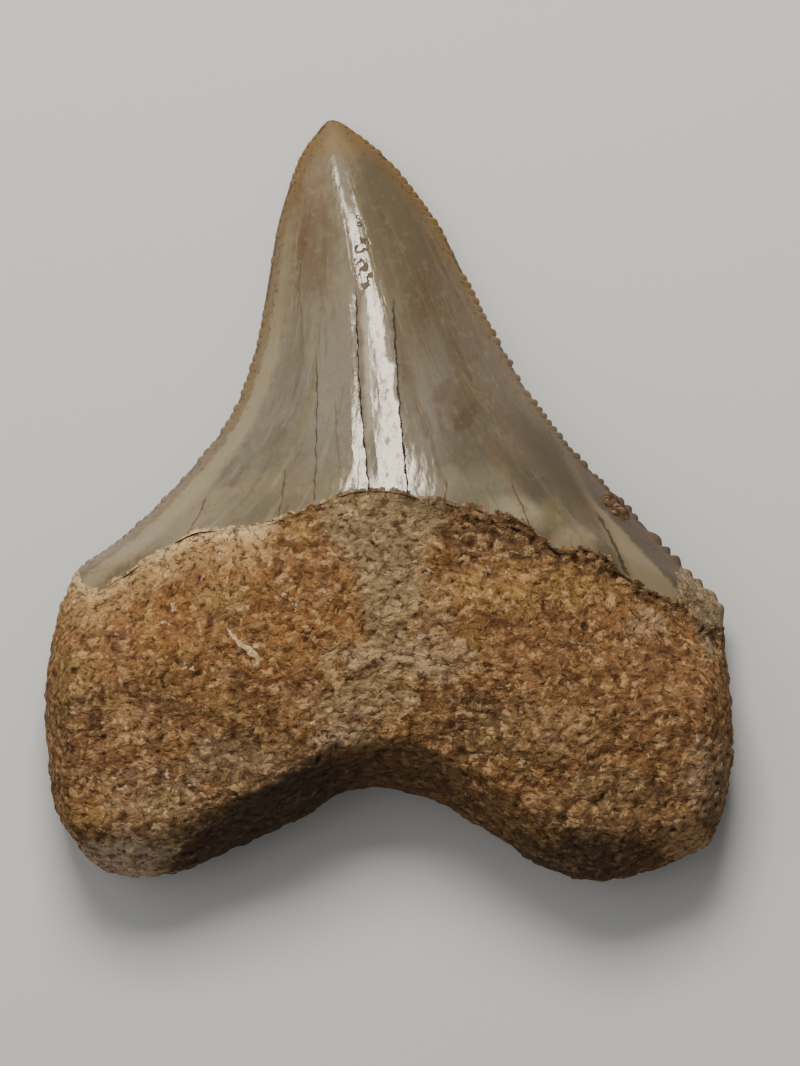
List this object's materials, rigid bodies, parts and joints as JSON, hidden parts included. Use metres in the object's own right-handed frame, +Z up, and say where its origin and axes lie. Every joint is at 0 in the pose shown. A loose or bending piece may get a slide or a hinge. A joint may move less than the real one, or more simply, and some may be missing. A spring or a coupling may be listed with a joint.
{
  "type": "megalodon tooth",
  "caption": "Fossil megalodon tooth lying on its flat face: glossy grey-brown enamel crown with serrated edges and fine lengthwise cracks, on a rough golden-brown two-lobed root",
  "frame": {"origin": "middle of the tooth's outline box, on the plane that its flat labial face lies on", "axes": "+Y from the root towards the crown's tip, +Z up out of the rounded lingual face, +X across the tooth to the right when the tip points away"},
  "size_m": [0.0824, 0.0914, 0.0209],
  "materials": {
    "fossil_root": "matte, grainy and porous fossil dentine, golden brown with ochre, grey-olive and dark patches",
    "enamel": "glossy grey-tan enamel with faint lengthwise streaks, dark hairline cracks and worn ochre serrations"
  },
  "bodies": {
    "root": {"megalodon_tooth": "fossil_root"}
  },
  "joints": []
}
